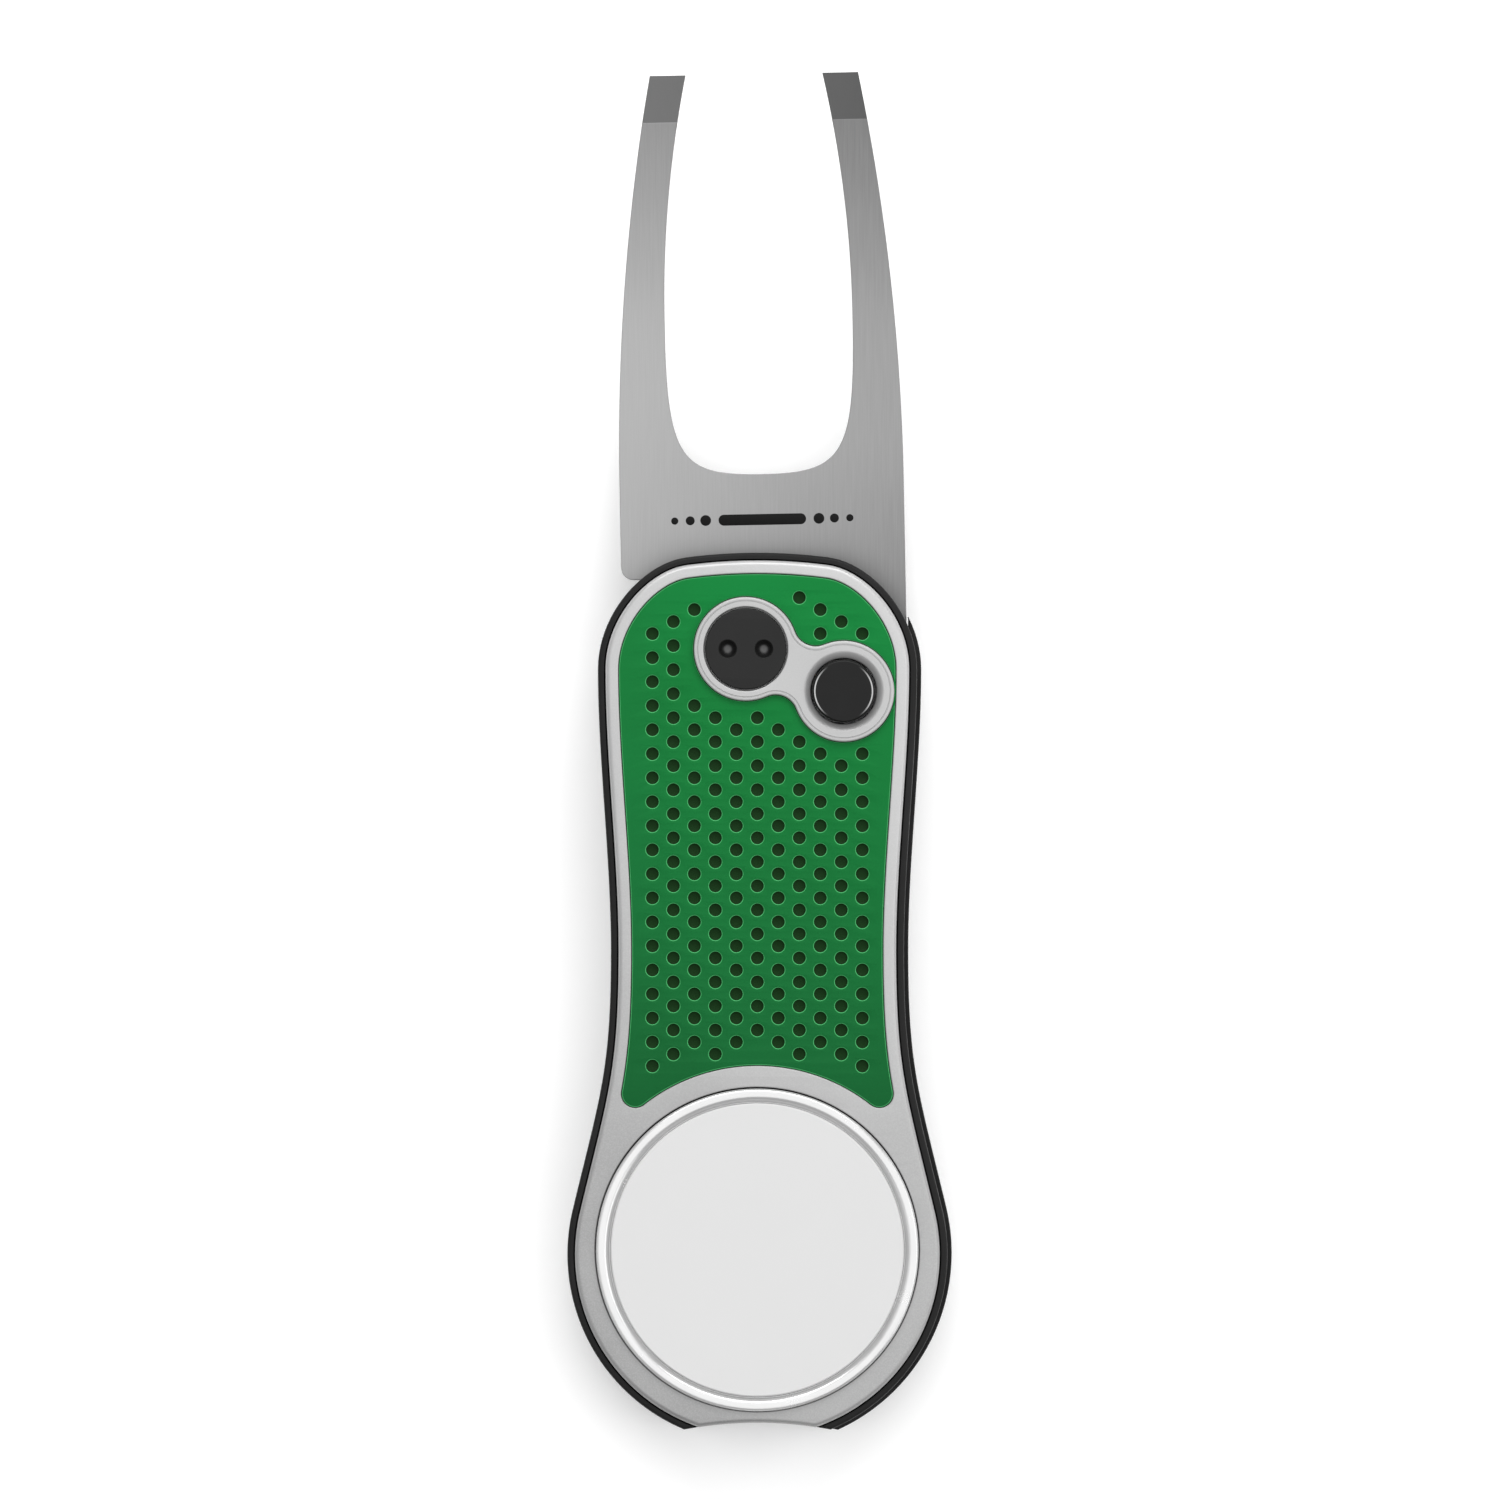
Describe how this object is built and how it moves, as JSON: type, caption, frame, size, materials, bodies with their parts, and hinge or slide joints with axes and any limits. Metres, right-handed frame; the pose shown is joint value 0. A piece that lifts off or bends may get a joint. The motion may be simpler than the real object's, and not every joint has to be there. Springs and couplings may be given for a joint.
{
  "type": "divot repair tool",
  "caption": "Folding golf divot repair tool: a two-prong fork springs out of a waisted handle with a release button, a ball marker and a pencil sharpener.",
  "frame": {"origin": "on the back face, straight under the ball marker's centre", "axes": "+Z out of the front face, +Y along the handle towards the fork's tips, +X to the right seen from the front"},
  "size_m": [0.0297, 0.1054, 0.0122],
  "materials": {
    "casing_black": "fine matt texture",
    "frame_silver": "satin, bead blasted",
    "grip_green": "dimpled, soft matt",
    "cap_black": "satin black",
    "button_black": "gloss",
    "fork_steel": "satin brushed along its length",
    "marker_chrome": "bright plated",
    "marker_enamel": "smooth pale enamel",
    "spring_steel": "plain",
    "screw_steel": "plated",
    "magnet_nickel": "nickel plated",
    "sharpener_alloy": "cast, milled cone",
    "bush_brass": "turned",
    "nylon_natural": "moulded"
  },
  "bodies": {
    "handle": {"front_casing": "casing_black", "back_casing": "casing_black", "spine_spacer": "casing_black", "toe_spacer": "casing_black", "front_frame": "frame_silver", "front_grip": "grip_green", "back_grip": "grip_green", "control_bezel": "frame_silver", "pivot_cap": "cap_black", "pivot_nut": "screw_steel", "pivot_bush": "bush_brass", "fork_washer": "nylon_natural", "thrust_ring": "nylon_natural", "return_spring": "spring_steel", "stem_guide": "spring_steel", "button_spring": "spring_steel", "marker_magnet": "magnet_nickel", "sharpener_block": "sharpener_alloy", "sharpener_blade": "spring_steel", "blade_screw": "screw_steel", "casing_screw_1": "screw_steel", "casing_screw_2": "screw_steel"},
    "fork": {"fork": "fork_steel"},
    "button": {"release_button": "button_black", "lock_stem": "spring_steel", "button_clip": "spring_steel"},
    "marker": {"marker_tray": "marker_chrome", "marker_face": "marker_enamel"}
  },
  "joints": [
    {"name": "fork_pivot", "type": "hinge", "parent": "handle", "child": "fork", "pos_m": [-0.00089, 0.04653, 0.0054], "axis": [0, 0, 1], "range_deg": [0, 182], "stiffness_Nm_per_rad": 0.004, "springref_deg": -34.38},
    {"name": "button_press", "type": "slide", "parent": "handle", "child": "button", "axis": [0, 0, -1], "range_m": [0, 0.0012], "stiffness_N_per_m": 300, "springref_m": -0.0006, "deforming": ["button_spring"]},
    {"name": "marker_lift", "type": "slide", "parent": "handle", "child": "marker", "axis": [0, 0, 1], "range_m": [0, 0.015]}
  ]
}
